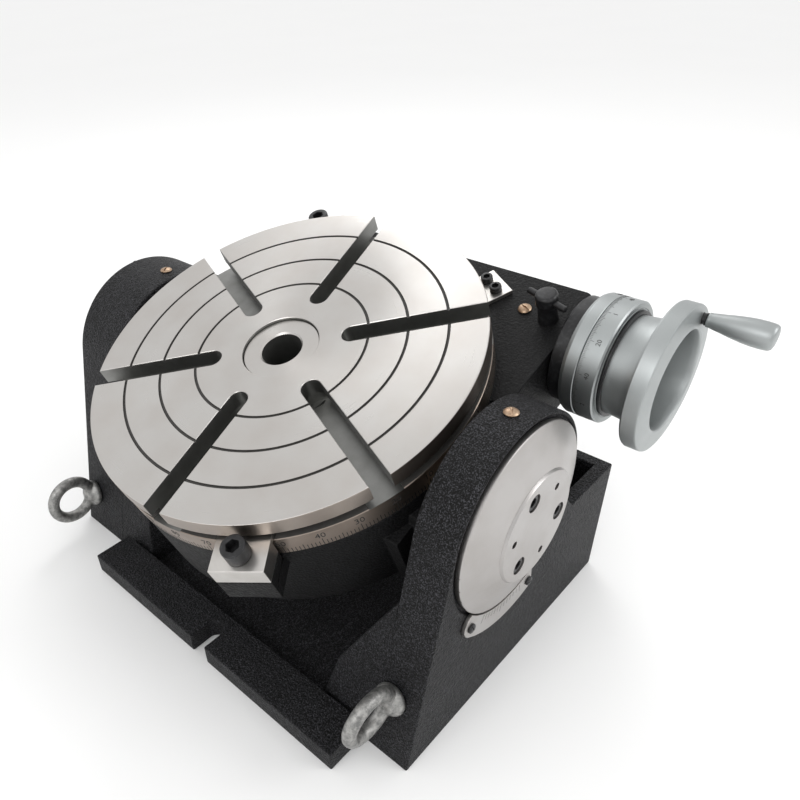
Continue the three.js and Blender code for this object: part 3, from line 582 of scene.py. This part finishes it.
def make_base():
    cheek = cheek_outline()
    body = placed(prism(cheek, CHEEK_IN, CHEEK_R_OUT), ALONG_X)
    joined(body, placed(prism(cheek, -CHEEK_L_OUT, -CHEEK_IN), ALONG_X), foot(1), foot(-1),
           block(-CHEEK_L_OUT, CHEEK_R_OUT, REAR_Y - WALL_T, REAR_Y, 0, WALL_Z),
           block(CHEEK_R_OUT - WALL_T, CHEEK_R_OUT, 60, REAR_Y, 0, WALL_Z),
           block(-CHEEK_L_OUT, WALL_T - CHEEK_L_OUT, 60, REAR_Y, 0, WALL_Z),
           block(1 - CHEEK_L_OUT, CHEEK_R_OUT - 1, FRONT_Y + 1, REAR_Y - 1, 0, FLOOR_T),
           block(*FLANGE_X, FLANGE_Y, FRONT_Y + 1, 0, FLANGE_T),
           block(*FLANGE_X, REAR_Y - 1, REAR_FLANGE_Y, 0, FLANGE_T),
           placed(rod(17, REAR_Y - WALL_T - 10, REAR_Y - 1, 48, TILT_X, TILT_WORM_Z), ALONG_Y))
    cut(body, u_slot(FLANGE_Y, 1), u_slot(REAR_FLANGE_Y, -1),
        placed(rod(77.5, CHEEK_R_OUT - 2.6, CHEEK_R_OUT + 5, 128, 0, AXIS_Z), ALONG_X),
        placed(rod(45.4, CHEEK_IN - 1, CHEEK_R_OUT + 1, 96, 0, AXIS_Z), ALONG_X),
        placed(rod(45.4, -200, 1 - CHEEK_IN, 96, 0, AXIS_Z), ALONG_X),
        placed(rod(68, -CHEEK_L_OUT - 1, -197.5, 96, 0, AXIS_Z), ALONG_X),
        placed(rod(12.2, -48, 93, 40, TILT_X, TILT_WORM_Z), ALONG_Y),
        placed(rod(8.4, 80, REAR_Y + 2, 40, TILT_X, TILT_WORM_Z), ALONG_Y))
    rounded(body, 1.3, 3)
    publish(body, "base_casting", ROOT, PAINT)


def torus(big, small, n=72, m=28):
    """A forged ring about local X, a little flattened."""
    verts, faces = [], []
    for i in range(n):
        a = 2 * math.pi * i / n
        for j in range(m):
            b = 2 * math.pi * j / m
            r = big + small * math.cos(b)
            verts.append((0.96 * small * math.sin(b), r * math.cos(a), r * math.sin(a)))
            k = (i + 1) % n
            faces.append((i * m + j, k * m + j, k * m + (j + 1) % m, i * m + (j + 1) % m))
    return solid(verts, faces)


def make_eyebolts():
    outward = Matrix.Rotation(math.pi / 2, 4, "X")         # local Z becomes -Y
    for node, x, z, ring_turn in EYES:
        collar = placed(lathe([(0, -22), (7.9, -22), (7.9, 0), (10.4, 0.3), (12.4, 1.0), (13.2, 2.6),
                               (13.2, 4.6), (12.2, 6.4), (10.2, 7.4), (8.6, 9.6), (7.6, 12.4), (0, 12.4)],
                              64), outward)
        ring = placed(torus(EYE_R, EYE_WIRE), shifted(0, -EYE_OUT, 0) @ spun(ring_turn, "Y"))
        joined(collar, ring)
        blend = collar.modifiers.new("remesh", "REMESH")
        blend.mode, blend.voxel_size = "VOXEL", 0.9 * MM
        soften = collar.modifiers.new("smooth", "SMOOTH")
        soften.factor, soften.iterations = 0.6, 8
        publish(applied(collar), node, eye_frame(x, z), FORGED, angle=80)


def make_oiler(node, matrix):
    body = lathe([(0, -2), (4, -2), (4, 0.3), (5.0, 0.3), (5.4, 0.6), (5.4, 1.2), (4.7, 2.0), (3.6, 2.6),
                  (1.4, 3), (0, 3)], 64)
    cut(body, rod(1.1, 1.6, 4, 24), block(-0.6, 0.6, -6, 6, 1.7, 4))
    publish(body, node, matrix, BRASS)


VERNIER_SCREWS = (230, 287)
COVER_SCREWS = (90, 210, 330)


def make_base_trim():
    for node, x in (("oiler_cheek_right", 187), ("oiler_cheek_left", -187)):
        make_oiler(node, shifted(x, 1, AXIS_Z + ARCH_R) @ spun(35))
    face = shifted(0, 0, AXIS_Z) @ ALONG_X
    end = [spot for r, a in ((92.9, 228.5), (91, 226), (87.5, 224), (82, 223), (78, 223))
           for spot in arc(0, 0, r, a, a, 1)[:1]]
    outline = arc(0, 0, 75.6, 224, 292, 72) + arc(0, 0, 93.5, 289, 231, 60) + end
    plate = prism(outline, CHEEK_R_OUT + 0.3, CHEEK_R_OUT + 3.2)
    holes = [rod(2.5, CHEEK_R_OUT - 1, CHEEK_R_OUT + 5, 32, 85.5 * math.cos(math.radians(a)),
                 85.5 * math.sin(math.radians(a))) for a in VERNIER_SCREWS]
    publish(rounded(cut(plate, *holes), 0.35), "tilt_vernier_plate", face, DIAL_FACE)
    for i, a in enumerate(VERNIER_SCREWS):
        publish(pan_screw(3.9, 2.0, 2.1, 9, slot=0.9), f"vernier_plate_screw_{i + 1}",
                face @ round_spot(85.5, a, CHEEK_R_OUT + 3.5) @ spun(20 + 60 * i), OXIDE)
    cover_z = -CHEEK_L_OUT - 4
    cover = lathe([(0, cover_z), (75.6, cover_z), (77, cover_z + 1.4), (77, -CHEEK_L_OUT - 0.3),
                   (0, -CHEEK_L_OUT - 0.3)], TURNED_FACES)
    publish(cover, "tilt_gear_cover", face, PAINT_SHADED)
    for i, a in enumerate(COVER_SCREWS):
        publish(pan_screw(5, 3, 2.9, 13, socket=2.3), f"gear_cover_screw_{i + 1}",
                face @ round_spot(73, a, cover_z - 0.3) @ spun(180, "X"), OXIDE)
    marks = []
    for i in range(13):
        length = 5 if i % 6 else 7.5
        a = 240 + 3.2 * i
        spot = round_spot(76.4, a, CHEEK_R_OUT + 3.2) @ spun(a - 90)
        marks.append(placed(bar(0.32, length, 0.14), spot))
    add_on(gathered(marks), "tilt_vernier_marks", face, "base", INK)


# -------------------------------------------------------------------- cradle
def radial(angle, r0, r1, half, z0, z1):
    return placed(block(r0, r1, -half, half, z0, z1), spun(angle))


def trunnion_block(side):
    inner, outer = (120, 154) if side > 0 else (-154, -120)
    boss = (120, EXT_X) if side > 0 else (-EXT_X, -120)
    web = [(-71, 22), (-71, -35), (-42, -66), (42, -66), (71, -35), (71, 22)]
    return [placed(prism(web, inner, outer), ALONG_X),
            placed(prism([*arc(0, 0, 58, 180, 360, 48), (50, 30), (-50, 30)], *boss), ALONG_X)]


def make_cradle():
    low, top = DRUM_Z
    body = lathe([(0, low), (DRUM_R - 3, low), (DRUM_R - 0.9, low + 0.9), (DRUM_R, low + 3),
                  (DRUM_R, top - 0.8), (DRUM_R - 0.8, top), (0, top)], 224)
    extension = prism([(EXT_X, 60), *arc(EXT_X - 8, EXT_Y - 8, 8, 0, 90, 10), (-62, EXT_Y), (-112, 112),
                       (0, 0)], low, EXT_TOP)
    lugs = []
    for a in (CLAMP_A, CLAMP_A + 180):
        lugs += [radial(a, 140, LUG_R, LUG_W, 28, top), radial(a, 161, LUG_R, LUG_W, top - 1, 50)]
    joined(body, extension, *trunnion_block(1), *trunnion_block(-1), *lugs)
    cut(body, lathe([(0, -6), (133, -6), (133, 60), (0, 60)], TURNED_FACES), rod(104, low - 1, -14, 128),
        lathe([(0, low - 1), (116.4, low - 1), (116.4, low + 4), (0, low + 4)], 128),
        placed(rod(21, -58, 100, 64, WORM_Y, WORM_Z), ALONG_X),
        placed(rod(23.4, 98, EXT_X + 1, 64, WORM_Y, WORM_Z), ALONG_X),
        placed(rod(25.4, 137, EXT_X + 1, 64), ALONG_X), placed(rod(25.4, -EXT_X - 1, -137, 64), ALONG_X))
    joined(body, lathe([(34.4, -20), (50, -20), (50, -3), (34.4, -3)], 96))
    rounded(body, 0.9, 2)
    publish(body, "cradle_casting", CRADLE, PAINT_SHADED)


LID_SCREWS = (45, 135, 225, 315)
PLATE_A = 61.5
PLATE_SCREWS = ((178, -7.3), (178, 7.3))
OILER_AT = (122, 146.3)
LEVER_AT, LEVER_A = (144, 144), -13.7


def make_cradle_trim():
    low = DRUM_Z[0]
    lid = lathe([(29, low), (115.2, low), (116, low + 0.8), (116, low + 3.7), (29, low + 3.7)], TURNED_FACES)
    publish(lid, "cradle_underside_lid", CRADLE, PAINT_SHADED)
    for i, a in enumerate(LID_SCREWS):
        publish(pan_screw(4.6, 2.6, 2.6, 11, socket=2), f"lid_screw_{i + 1}",
                CRADLE @ round_spot(110, a, low - GAP) @ spun(180, "X"), OXIDE)
    turn = CRADLE @ spun(PLATE_A)
    plate = block(162.3, 188.5, -16, 16, EXT_TOP + GAP, EXT_TOP + 4)
    cut(plate, *[rod(3, 35, 50, 32, r, t) for r, t in PLATE_SCREWS])
    publish(rounded(plate, 0.5), "index_plate", turn, MACHINED)
    for i, (r, t) in enumerate(PLATE_SCREWS):
        publish(cap_screw(4.9, 4.6, 2.6, 6), f"index_plate_screw_{i + 1}",
                turn @ shifted(r, t, EXT_TOP + 4 + GAP), OXIDE)
    make_oiler("oiler_cradle", CRADLE @ shifted(*OILER_AT, EXT_TOP) @ spun(70))
    for which, a in (("front", CLAMP_A), ("rear", CLAMP_A + 180)):
        turn = CRADLE @ spun(a)
        clamp = joined(block(161, LUG_R, -LUG_W, LUG_W, 50.3, 65.6),
                       block(153.5, 170, -LUG_W, LUG_W, 61.6, 65.6))
        cut(clamp, rod(6.4, 45, 70, 48, CLAMP_R, 0))
        publish(rounded(clamp, 0.6), f"clamp_block_{which}", turn, MACHINED)
        publish(cap_screw(9, 12, 6, 30), f"clamp_screw_{which}",
                turn @ shifted(CLAMP_R, 0, 65.6 + GAP) @ spun(17), OXIDE)


def make_lock():
    x, y = LEVER_AT
    screw = lathe([(0, 38.1), (5, 38.1), (5, 40.3), (8, 40.3), (7.6, 43), (7.3, 50), (7.5, 54), (8.2, 55.8),
                   (8.6, 57.4), (8.6, 64.0), (8.2, 65.4), (7.2, 66.3), (6.0, 66.5), (0, 66.5)], 96)
    hole = placed(rod(2.9, -20, 20, 32), shifted(0, 0, 60) @ spun(LEVER_A) @ ALONG_X)
    publish(cut(screw, hole), "worm_lock_screw", CRADLE @ shifted(x, y, 0), OXIDE)
    rod_piece = lathe([(0, -18.8), (1.6, -18.8), (2.3, -18.3), (2.5, -17.6), (2.5, 17.6), (2.3, 18.3),
                       (1.6, 18.8), (0, 18.8)], 48)
    publish(rod_piece, "worm_lock_bar", CRADLE @ shifted(x, y, 60) @ spun(LEVER_A) @ ALONG_X, OXIDE)


DIAL_SCREWS = (90, 210, 330)


def make_tilt_dial():
    base = CHEEK_R_OUT - 2.1
    rim, hub = base + 4.7, base + 16.8
    face = lathe([(0, base), (74.0, base), (74.7, base + 0.7), (74.7, rim - 0.6), (74.3, rim),
                  (73.4, rim + 0.3), (45.2, hub - 2.1), (44.2, hub - 1.9), (43.4, hub - 0.5), (42.9, hub),
                  (0, hub)], 256)
    holes = []
    for a in DIAL_SCREWS:
        y, z = 30 * math.cos(math.radians(a)), 30 * math.sin(math.radians(a))
        holes += [rod(4.4, base - 1, hub + 1, 32, y, z), rod(6.9, 209.6, hub + 2, 64, y, z)]
    for a in (30, 150, 270):
        holes.append(rod(2.8, 206, hub + 2, 32, 31 * math.cos(math.radians(a)),
                         31 * math.sin(math.radians(a))))
    publish(cut(face, *holes), "tilt_dial", DIAL, DIAL_FACE, angle=24)
    for i, a in enumerate(DIAL_SCREWS):
        publish(cap_screw(6.5, 7.6, 4, 20), f"tilt_dial_screw_{i + 1}", DIAL @ round_spot(30, a, 209.9),
                OXIDE)
    marks = scale_marks(360, lambda i: 0 if 20 < i < 160 else (4.4 if i % 10 == 0 else 2.6),
                        lambda a: wrapped(a, 74.7, base + 0.4), 0.3)
    add_on(gathered(marks), "tilt_dial_marks", DIAL, "cradle", INK)


# --------------------------------------------------------------------- table
def slot_outline(inner, half, grow=0.0):
    end = TABLE_R + 3
    bend = arc(inner + half, 0, half + grow, 90, 270, 24)
    return [(end, -half - grow), (end, half + grow), *bend]


def ring_groove(r):
    return [(r + 1.15, TABLE_TOP), (r + 1.0, TABLE_TOP - 1.6), (r - 1.0, TABLE_TOP - 1.6),
            (r - 1.15, TABLE_TOP)]


def make_table():
    grooves = [point for r in reversed(RINGS) for point in ring_groove(r)]
    disc = lathe([(26.4, 31.3), (HUB_R, 31.3), (HUB_R, BAND_Z), (BAND_R - 0.6, BAND_Z),
                  (BAND_R, BAND_Z + 0.6), (BAND_R, GROOVE_Z - 0.5), (BAND_R - 0.5, GROOVE_Z),
                  (GROOVE_R, GROOVE_Z), (GROOVE_R, LIP_Z), (TABLE_R - 0.5, LIP_Z), (TABLE_R, LIP_Z + 0.5),
                  (TABLE_R, TABLE_TOP - 0.9), (TABLE_R - 0.25, TABLE_TOP - 0.35),
                  (TABLE_R - 0.9, TABLE_TOP), *grooves, (31.9, TABLE_TOP), (31.4, TABLE_TOP - 0.5),
                  (31.4, 75), (26.4, 75)], TABLE_FACES)
    tools = []
    half, wide, edge = SLOT_W / 2, SLOT_T_W / 2, 0.45
    for k in range(6):
        turn = spun(SLOT_A0 + 60 * k)
        neck = slot_outline(SLOT_IN, half)
        tools.append(placed(loft([(neck, SLOT_FLOOR), (neck, TABLE_TOP - edge),
                                  (slot_outline(SLOT_IN, half, edge), TABLE_TOP),
                                  (slot_outline(SLOT_IN, half, 2 * edge), TABLE_TOP + edge)]), turn))
        tools.append(placed(prism(slot_outline(SLOT_IN, wide), SLOT_FLOOR, SLOT_T_Z), turn))
    cut(disc, *tools)
    publish(disc, "table", CRADLE, GROUND, SLOT, BAND_PAINTED_REFLECTION, RIM_PAINTED_REFLECTION, SHADE, angle=30)
    for polygon in disc.data.polygons:
        x, y, z = (c / MM for c in polygon.center)
        r = math.hypot(x, y)
        # The ring grooves and the groove under the lip get the painted shade.
        if min(abs(r - ring) for ring in RINGS) < 1.3 and TABLE_TOP - 1.8 < z < TABLE_TOP - 0.1:
            polygon.material_index = 4
        elif r < GROOVE_R + 5 and r > GROOVE_R - 1 and GROOVE_Z - 0.1 < z < LIP_Z + 0.1:
            polygon.material_index = 4
        # Band and rim faces get the steel with the painted brown reflection.
        elif z < LIP_Z + 0.2 and r > GROOVE_R - 1:
            polygon.material_index = 2
        elif z < TABLE_TOP - 0.5 and r > TABLE_R - 0.6:
            polygon.material_index = 3
        elif z < TABLE_TOP - 0.6:
            polygon.material_index = 1
    face = TABLE_TOP - 2.6                     # the sleeve's face lies below the table's
    sleeve = lathe([(13.3, -26.6), (26, -26.6), (26, 75.3), (31, 75.3), (31, face - 0.6), (30.4, face),
                    (17.6, face), (16.4, face - 1.2)], 192)
    publish(sleeve, "centre_sleeve", CRADLE, GROUND, SLOT, angle=30)
    for polygon in sleeve.data.polygons:
        x, y, z = (c / MM for c in polygon.center)
        if math.hypot(x, y) < 16.6:
            polygon.material_index = 1
    marks = scale_marks(360, lambda i: 7.2 if i % 10 == 0 else (6.0 if i % 5 == 0 else 4.6),
                        lambda a: wrapped(a, BAND_R, BAND_Z + 0.8), 0.6)
    for i in range(36):
        marks.append(placed(figures(str(10 * i), 5.6), wrapped(360 - 10 * i, BAND_R, BAND_Z + 9.4)))
    add_on(gathered(marks), "table_marks", CRADLE, "table", INK)


# ---------------------------------------------------------------- worm drive
def make_worm_drive():
    sleeve = lathe([(14.4, 101), (23, 101), (23, EXT_X + 1), (40.8, EXT_X + 1), (42, EXT_X + 2.2),
                    (42, 175.2), (37.5, 175.2), (37.5, 187.8), (14.4, 187.8)], TURNED_FACES)
    # The sleeve is steel. The black oxide look on it is painted shade for where it sits in shadow.
    publish(sleeve, "worm_eccentric_sleeve", WORM, OXIDE)
    ring = lathe([(37.9, 175.5), (44.5, 175.5), (46.4, 176.4), (DIAL_R - 0.3, 178.8), (DIAL_R, 179.6),
                  (DIAL_R, 187.6), (DIAL_R - 0.5, 188.1), (37.9, 188.1)], 192)
    publish(ring, "worm_vernier_ring", WORM, SATIN, angle=24)
    dial = lathe([(34.4, 188.5), (DIAL_R - 0.5, 188.5), (DIAL_R, 189.0), (DIAL_R, 203.4),
                  (DIAL_R - 1.1, 204.5), (43.2, 204.5), (43.0, 204.1), (42.4, 204.1), (42.2, 204.5),
                  (34.4, 204.5)], 192)
    publish(dial, "micrometer_dial", WORM, SATIN, angle=24)
    lock = lathe([(38.9, 205.1), (41.3, 205.1), (41.6, 205.4), (41.6, 206.8), (41.2, 207.2), (38.9, 207.2)],
                 TURNED_FACES)
    publish(lock, "dial_lock_ring", WORM, OXIDE)
    wheel = lathe([(9.4, 189.4), (34, 189.4), (34, 204.8), (38.6, 204.8), (38.6, 208), (39.0, 213),
                   (39.6, 219), (40.6, 224), (42.0, 227.2), (44.2, 228.8), (47, 229.2),
                   (RIM_R - 2.2, 229.2), (RIM_R - 0.7, 229.7), (RIM_R, 231.0), (RIM_R, 240.8),
                   (RIM_R - 0.5, 242.0), (RIM_R - 1.8, 242.6), (41.2, 244.1), (39.8, 244.2), (39.0, 243.6),
                   (38.4, 242.2), (37.9, 238), (37.2, 229), (35.9, 215.4), (34.6, 212), (32, 211),
                   (15, 211), (15, 215), (9.4, 215)], 224)
    handle = round_spot(47.5, 37, 0)
    cut(wheel, placed(rod(4.4, 228, 246, 40), handle))
    publish(wheel, "handwheel", WORM, SATIN, angle=24)
    nut = prism(arc(0, 0, 12.8, 0, 300, 5), 215.3, 222.5)
    cut(nut, rod(9.4, 212, 226, 48))
    publish(rounded(nut, 0.8), "handwheel_nut", WORM, FORGED)
    grip = lathe([(3.3, 246.8), (4.6, 246.8), (5.2, 247.2), (5.4, 248.2), (5.3, 249.0), (5.7, 251.0),
                  (6.2, 254), (6.8, 258), (7.6, 262), (8.4, 267), (9.1, 272), (9.6, 278), (9.7, 283),
                  (9.6, 287), (9.2, 290), (8.2, 291.6), (6.4, 292.2), (0, 292.3), (0, 288.2), (3.3, 288.2)],
                 96)
    publish(grip, "crank_handle", WORM @ handle, SATIN, angle=60)
    pin = lathe([(0, 230), (4, 230), (4, 245.2), (4.6, 245.4), (4.6, 246.4), (3, 246.5), (3, 287),
                 (0, 287)], 48)
    publish(pin, "handle_pin", WORM @ handle, OXIDE)
    marks = scale_marks(240, lambda i: 4.6 if i % 20 == 0 else (3.4 if i % 5 == 0 else 2.2),
                        lambda a: wrapped(a, DIAL_R, 189.1), 0.26)
    for i, label in enumerate(["0", "20", "40", "1", "20", "40", "2", "20", "40", "3", "20", "40"]):
        marks.append(placed(figures(label, 3.6), wrapped(30 * i, DIAL_R, 198.8, -1)))
    add_on(gathered(marks), "dial_marks", WORM, "micrometer", INK)
    vernier = [placed(bar(0.26, 3.6 if i % 5 else 5.0, 0.14), wrapped(28 + 1.35 * i, DIAL_R, 187.5, -1))
               for i in range(21)]
    add_on(gathered(vernier), "vernier_ring_marks", WORM, "cradle", INK)


def worm_thread(r0, depth, pitch, length, around=48, per_turn=12):
    """A round bar about local Z with one helical thread that fades out at both ends."""
    rows = round(length / pitch * per_turn)
    verts = []
    for k in range(rows + 1):
        z = -length / 2 + length * k / rows
        fade = min(1, (length / 2 - abs(z)) / pitch)
        for i in range(around):
            a = 2 * math.pi * i / around
            turn = (z / pitch - i / around) % 1
            r = r0 - depth * (1 - fade * abs(2 * turn - 1))
            verts.append((r * math.cos(a), r * math.sin(a), z))
    faces = [list(range(around)), list(range(rows * around, (rows + 1) * around))]
    for k in range(rows):
        for i in range(around):
            j = (i + 1) % around
            low, high = k * around, (k + 1) * around
            faces.append((low + i, low + j, high + j, high + i))
    return solid(verts, faces)


def make_tilt_worm():
    """The tilting worm, its shaft, and the square end behind the rear wall."""
    shaft = rod(7.9, -44, REAR_Y + 8, 64, edge=0.6)
    square = prism([(-5.6, -5.6), (5.6, -5.6), (5.6, 5.6), (-5.6, 5.6)], REAR_Y + 6, REAR_Y + 27)
    joined(shaft, rounded(square, 0.9), worm_thread(11, 2.6, 6.4, 52))
    publish(placed(shaft, ALONG_Y), "tilt_worm_shaft", shifted(TILT_X, 0, TILT_WORM_Z), STEEL)


# ------------------------------------------------------ camera, floor, lights
CAMERA_AT = (374.3, -349.9, 513.6)
CAMERA_AZ, CAMERA_EL, CAMERA_ROLL = 43.80, 36.65, -2.28
LENS, SENSOR = 32.18, 36.0
SHIFT = (0.067, 0.060)


def make_camera():
    az, el, roll = (math.radians(a) for a in (CAMERA_AZ, CAMERA_EL, CAMERA_ROLL))
    back = Vector((math.sin(az) * math.cos(el), -math.cos(az) * math.cos(el), math.sin(el)))
    level = Vector((math.cos(az), math.sin(az), 0))
    up = back.cross(level)
    right = math.cos(roll) * level + math.sin(roll) * up
    top = back.cross(right)
    data = bpy.data.cameras.new("camera")
    data.lens, data.sensor_width = LENS, SENSOR
    data.shift_x, data.shift_y = SHIFT
    data.clip_end = 100
    ob = bpy.data.objects.new("camera", data)
    scene.collection.objects.link(ob)
    turn = Matrix((right, top, back)).transposed().to_4x4()
    ob.matrix_world = shifted(*CAMERA_AT) @ turn
    scene.camera = ob


def area_light(name, at, aim, size, watts, colour=(1, 1, 1)):
    data = bpy.data.lights.new(name, "AREA")
    data.shape, data.size, data.size_y = "RECTANGLE", size[0], size[1]
    data.energy, data.color = watts, colour
    ob = bpy.data.objects.new(name, data)
    scene.collection.objects.link(ob)
    ob.location = at
    ob.rotation_mode = "QUATERNION"
    ob.rotation_quaternion = (Vector(aim) - Vector(at)).to_track_quat("-Z", "Y")


def make_stage():
    side = FLOOR_HALF
    floor = solid([(-side, -side, 0), (side, -side, 0), (side, side, 0), (-side, side, 0)], [(0, 1, 2, 3)])
    floor.name = "floor"
    floor.data.materials.append(plain_matt("pale_floor", (0.93, 0.93, 0.925), (0.95, 0.95, 0.945), 0.4, 0.8))
    world = bpy.data.worlds.new("studio")
    scene.world = world
    world.use_nodes = True
    nodes, links = world.node_tree.nodes, world.node_tree.links
    place = nodes.new("ShaderNodeTexCoord")
    split = nodes.new("ShaderNodeSeparateXYZ")
    ramp = nodes.new("ShaderNodeValToRGB")
    links.new(place.outputs["Generated"], split.inputs[0])
    links.new(split.outputs[2], ramp.inputs[0])
    links.new(ramp.outputs[0], nodes["Background"].inputs[0])
    ramp.color_ramp.elements[0].color = (0.88, 0.88, 0.885, 1)
    ramp.color_ramp.elements[1].color = (1.0, 1.0, 1.0, 1)
    nodes["Background"].inputs[1].default_value = 1.0
    area_light("key", (0.2, -1.5, 1.3), (0, 0, 0.15), (1.0, 0.6), 7)
    area_light("side", (1.4, 0.7, 1.2), (0.1, 0, 0.15), (0.7, 0.7), 7)
    area_light("rear", (-0.9, 1.0, 1.5), (0, 0, 0.2), (0.7, 0.7), 5)
    scene.view_settings.view_transform = "Standard"


make_camera()
make_stage()
make_base()
make_eyebolts()
make_base_trim()
make_cradle()
make_cradle_trim()
make_lock()
make_tilt_dial()
make_table()
make_worm_drive()
make_tilt_worm()
for name, ob in frame["nodes"].items():
    if not ob.hide_render:
        ob.data.materials.clear()
        ob.data.materials.append(SLOT_LOOKS[slot_of[name]])
